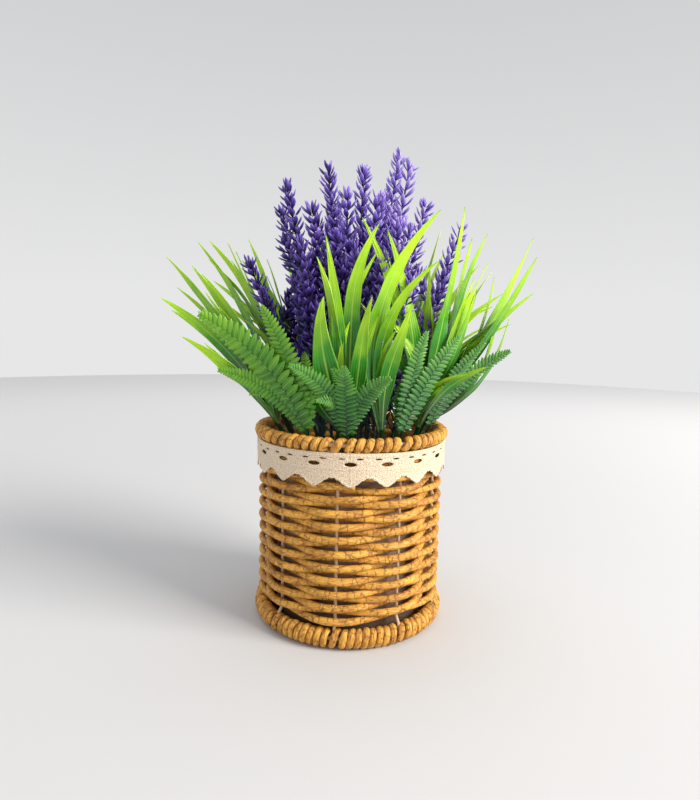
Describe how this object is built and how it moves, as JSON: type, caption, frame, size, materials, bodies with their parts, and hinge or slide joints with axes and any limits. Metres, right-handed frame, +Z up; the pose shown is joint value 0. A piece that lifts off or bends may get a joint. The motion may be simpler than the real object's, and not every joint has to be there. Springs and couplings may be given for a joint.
{
  "type": "potted lavender",
  "caption": "Artificial lavender with grass and fern leaves in a round woven paper-rope basket with a lace band, for a table or shelf.",
  "frame": {"origin": "on the floor under the middle of the round basket", "axes": "+Z up along the basket's axis, -Y is the front seen in the picture, +X to its right"},
  "size_m": [0.1933, 0.135, 0.2511],
  "materials": {
    "paper_rope": "matte twisted paper rope with brown creases",
    "frame_wire": "beige coated wire",
    "cotton_lace": "cream crochet lace",
    "paperboard": "matte",
    "foam": "dry foam in a mauve beige sleeve",
    "stem_plastic": "satin",
    "floret_plastic": "satin, darker at the foot of each spike",
    "grass_plastic": "satin, yellow green at the tips and dark green at the foot",
    "fern_plastic": "satin"
  },
  "bodies": {
    "root": {"base_wrap": "paper_rope", "fern_back_left": "fern_plastic", "fern_back_right": "fern_plastic", "fern_front": "fern_plastic", "fern_left": "fern_plastic", "fern_right": "fern_plastic", "fern_right_front": "fern_plastic", "floor_disc": "paperboard", "foam_block": "foam", "grass_back_left": "grass_plastic", "grass_back_mid": "grass_plastic", "grass_back_right": "grass_plastic", "grass_front_left": "grass_plastic", "grass_front_mid": "grass_plastic", "grass_front_right": "grass_plastic", "grass_left_back": "grass_plastic", "grass_left_front": "grass_plastic", "grass_right_back": "grass_plastic", "grass_right_front": "grass_plastic", "lace_band": "cotton_lace", "lavender_spike_01": "floret_plastic", "lavender_spike_02": "floret_plastic", "lavender_spike_03": "floret_plastic", "lavender_spike_04": "floret_plastic", "lavender_spike_05": "floret_plastic", "lavender_spike_06": "floret_plastic", "lavender_spike_07": "floret_plastic", "lavender_spike_08": "floret_plastic", "lavender_spike_09": "floret_plastic", "lavender_spike_10": "floret_plastic", "lavender_spike_11": "floret_plastic", "lavender_spike_12": "floret_plastic", "lavender_spike_13": "floret_plastic", "lavender_spike_14": "floret_plastic", "lavender_spike_15": "floret_plastic", "lavender_spike_16": "floret_plastic", "lavender_spike_17": "floret_plastic", "lavender_stem_01": "stem_plastic", "lavender_stem_02": "stem_plastic", "lavender_stem_03": "stem_plastic", "lavender_stem_04": "stem_plastic", "lavender_stem_05": "stem_plastic", "lavender_stem_06": "stem_plastic", "lavender_stem_07": "stem_plastic", "lavender_stem_08": "stem_plastic", "lavender_stem_09": "stem_plastic", "lavender_stem_10": "stem_plastic", "lavender_stem_11": "stem_plastic", "lavender_stem_12": "stem_plastic", "lavender_stem_13": "stem_plastic", "lavender_stem_14": "stem_plastic", "lavender_stem_15": "stem_plastic", "lavender_stem_16": "stem_plastic", "lavender_stem_17": "stem_plastic", "rim_wrap": "paper_rope", "weaver_lower": "paper_rope", "weaver_upper": "paper_rope", "wire_frame": "frame_wire"}
  },
  "joints": []
}
